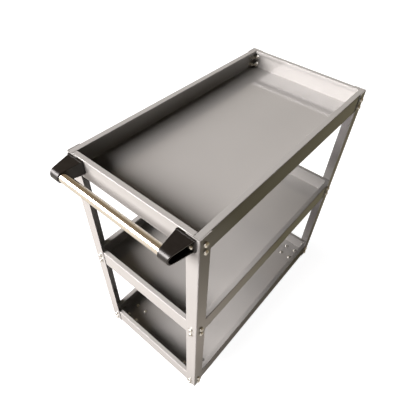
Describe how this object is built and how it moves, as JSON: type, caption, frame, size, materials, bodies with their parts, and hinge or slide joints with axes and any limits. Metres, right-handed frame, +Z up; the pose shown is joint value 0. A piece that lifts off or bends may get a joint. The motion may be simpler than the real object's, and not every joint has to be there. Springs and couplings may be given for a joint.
{
  "type": "tool cart",
  "caption": "Open steel tool cart with stacked shallow trays on angle uprights, a push handle at one end, and fixed and braked swivel casters.",
  "frame": {"origin": "on the floor, under the middle of the whole object's box, handle included", "axes": "+X along the cart away from the handle, +Y to the left of the person pushing, +Z up"},
  "size_m": [0.8308, 0.4156, 0.89],
  "materials": {
    "grey_powder_coat": "semi-gloss powder coat",
    "handle_steel": "plated, lengthwise brushed",
    "bracket_plastic": "fine moulded texture",
    "zinc_fastener": "bright zinc plate",
    "caster_zinc": "satin zinc plate",
    "wheel_plastic": "moulded",
    "tyre_rubber": "matte solid rubber",
    "brake_plastic": "moulded"
  },
  "bodies": {
    "cart_frame": {"top_tray": "grey_powder_coat", "middle_tray": "grey_powder_coat", "bottom_tray": "grey_powder_coat", "handle_tube": "handle_steel", "handle_bracket_right": "bracket_plastic", "handle_bracket_left": "bracket_plastic", "frame_bolts": "zinc_fastener", "frame_washers": "zinc_fastener", "frame_nuts": "zinc_fastener", "handle_bolts": "zinc_fastener", "handle_washers": "zinc_fastener", "handle_nuts": "zinc_fastener", "caster_bolts": "zinc_fastener", "caster_washers": "zinc_fastener", "caster_nuts": "zinc_fastener", "upright_handle_right": "grey_powder_coat", "upright_handle_left": "grey_powder_coat", "upright_far_right": "grey_powder_coat", "upright_far_left": "grey_powder_coat", "swivel_plate_handle_right": "caster_zinc", "kingpin_handle_right": "caster_zinc", "swivel_plate_handle_left": "caster_zinc", "kingpin_handle_left": "caster_zinc", "rigid_housing_far_right": "caster_zinc", "axle_sleeve_far_right": "zinc_fastener", "axle_bolt_far_right": "zinc_fastener", "axle_nut_far_right": "zinc_fastener", "rigid_housing_far_left": "caster_zinc", "axle_sleeve_far_left": "zinc_fastener", "axle_bolt_far_left": "zinc_fastener", "axle_nut_far_left": "zinc_fastener"},
    "swivel_handle_right": {"swivel_fork_handle_right": "caster_zinc", "bearing_balls_handle_right": "zinc_fastener", "brake_pin_handle_right": "zinc_fastener", "axle_sleeve_handle_right": "zinc_fastener", "axle_bolt_handle_right": "zinc_fastener", "axle_nut_handle_right": "zinc_fastener"},
    "wheel_handle_right": {"wheel_core_handle_right": "wheel_plastic", "tyre_handle_right": "tyre_rubber"},
    "brake_handle_right": {"brake_pedal_handle_right": "brake_plastic"},
    "swivel_handle_left": {"swivel_fork_handle_left": "caster_zinc", "bearing_balls_handle_left": "zinc_fastener", "brake_pin_handle_left": "zinc_fastener", "axle_sleeve_handle_left": "zinc_fastener", "axle_bolt_handle_left": "zinc_fastener", "axle_nut_handle_left": "zinc_fastener"},
    "wheel_handle_left": {"wheel_core_handle_left": "wheel_plastic", "tyre_handle_left": "tyre_rubber"},
    "brake_handle_left": {"brake_pedal_handle_left": "brake_plastic"},
    "wheel_far_right": {"wheel_core_far_right": "wheel_plastic", "tyre_far_right": "tyre_rubber"},
    "wheel_far_left": {"wheel_core_far_left": "wheel_plastic", "tyre_far_left": "tyre_rubber"}
  },
  "joints": [
    {"name": "swivel_handle_right", "type": "hinge", "parent": "cart_frame", "child": "swivel_handle_right", "pos_m": [-0.2904, -0.143, 0.085], "axis": [0, 0, 1], "continuous": true},
    {"name": "wheel_spin_handle_right", "type": "hinge", "parent": "swivel_handle_right", "child": "wheel_handle_right", "pos_m": [-0.2654, -0.143, 0.0375], "axis": [0, 1, 0], "continuous": true},
    {"name": "brake_press_handle_right", "type": "hinge", "parent": "swivel_handle_right", "child": "brake_handle_right", "pos_m": [-0.2324, -0.143, 0.07], "axis": [0, 1, 0], "range_deg": [0, 30]},
    {"name": "swivel_handle_left", "type": "hinge", "parent": "cart_frame", "child": "swivel_handle_left", "pos_m": [-0.2904, 0.143, 0.085], "axis": [0, 0, 1], "continuous": true},
    {"name": "wheel_spin_handle_left", "type": "hinge", "parent": "swivel_handle_left", "child": "wheel_handle_left", "pos_m": [-0.2654, 0.143, 0.0375], "axis": [0, 1, 0], "continuous": true},
    {"name": "brake_press_handle_left", "type": "hinge", "parent": "swivel_handle_left", "child": "brake_handle_left", "pos_m": [-0.2324, 0.143, 0.07], "axis": [0, 1, 0], "range_deg": [0, 30]},
    {"name": "wheel_spin_far_right", "type": "hinge", "parent": "cart_frame", "child": "wheel_far_right", "pos_m": [0.3506, -0.143, 0.0375], "axis": [0, 1, 0], "continuous": true},
    {"name": "wheel_spin_far_left", "type": "hinge", "parent": "cart_frame", "child": "wheel_far_left", "pos_m": [0.3506, 0.143, 0.0375], "axis": [0, 1, 0], "continuous": true}
  ]
}
